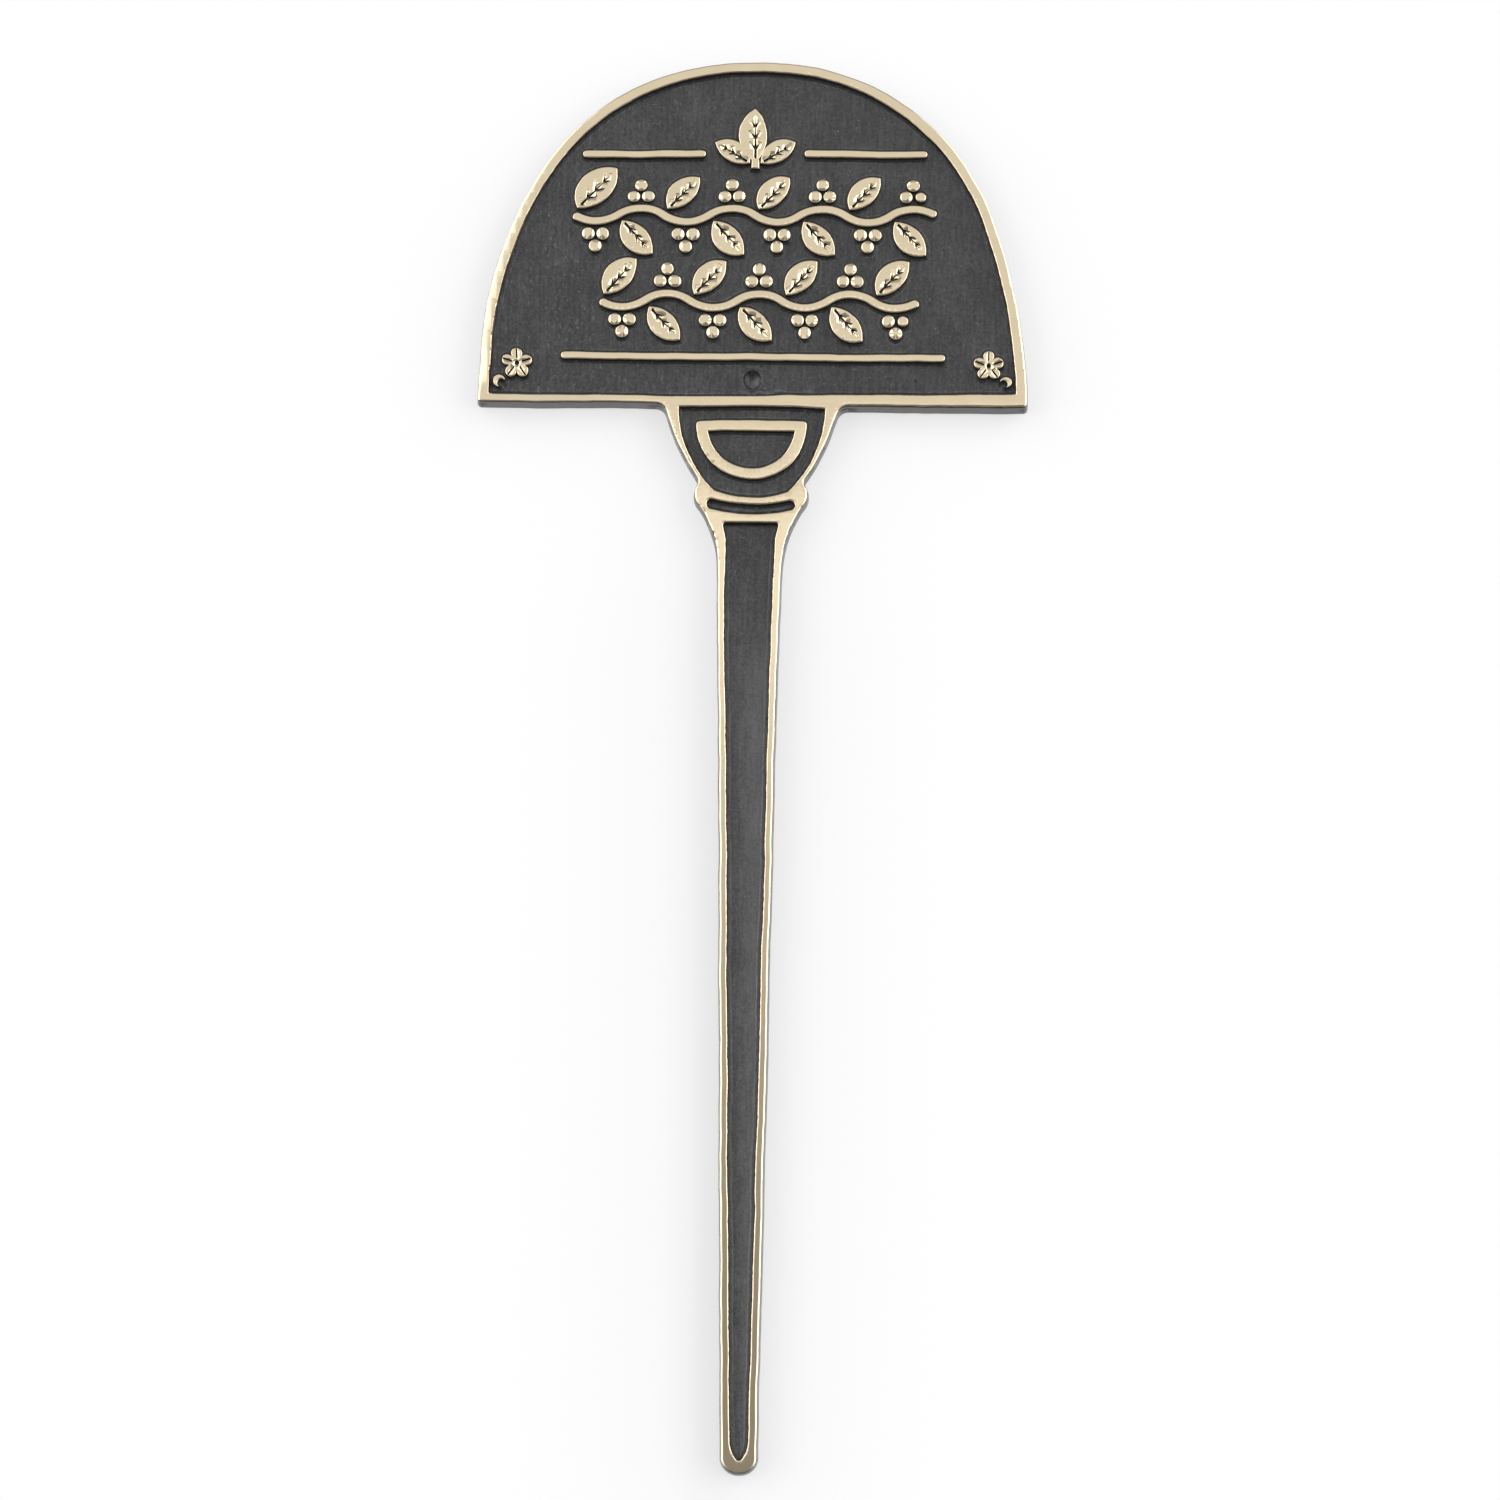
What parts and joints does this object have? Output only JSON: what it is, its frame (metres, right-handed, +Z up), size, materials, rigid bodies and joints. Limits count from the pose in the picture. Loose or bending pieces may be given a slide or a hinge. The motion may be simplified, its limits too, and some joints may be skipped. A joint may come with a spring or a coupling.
{
  "type": "plant label stake",
  "caption": "Cast brass plant marker for a garden bed: an arched head with raised vine ornament on a cup and collar, carried by a long tapered blade that is pushed into the soil.",
  "frame": {"origin": "the tip of the blade, in the middle of its width and of the casting's depth", "axes": "+Z up the marker from the tip to the crown, +X to the right seen from the front, -Y out of the worked front face and +Y out of the flat back"},
  "size_m": [0.1482, 0.0054, 0.38],
  "materials": {
    "brass": "cast brass, linished flat on the front face and lacquered",
    "painted_ground": "cast brass under satin black paint"
  },
  "bodies": {
    "root": {"head_plate": "painted_ground", "neck_plate": "painted_ground", "stake_blade": "painted_ground", "arch_rim": "brass", "foot_rail": "brass", "neck_rim_left": "brass", "neck_rim_right": "brass", "collar": "brass", "stake_rim": "brass", "cup_ring": "brass", "upper_rule_left": "brass", "upper_rule_right": "brass", "lower_rule": "brass", "crest_sprig": "brass", "blossom_left": "brass", "blossom_right": "brass", "bud_left": "brass", "bud_right": "brass", "vine_stem_upper": "brass", "vine_stem_lower": "brass", "berries_upper": "brass", "berries_lower": "brass", "leaf_upper_1": "brass", "leaf_upper_2": "brass", "leaf_upper_3": "brass", "leaf_upper_4": "brass", "leaf_upper_5": "brass", "leaf_upper_6": "brass", "leaf_upper_7": "brass", "leaf_upper_8": "brass", "leaf_lower_1": "brass", "leaf_lower_2": "brass", "leaf_lower_3": "brass", "leaf_lower_4": "brass", "leaf_lower_5": "brass", "leaf_lower_6": "brass", "leaf_lower_7": "brass"}
  },
  "joints": []
}
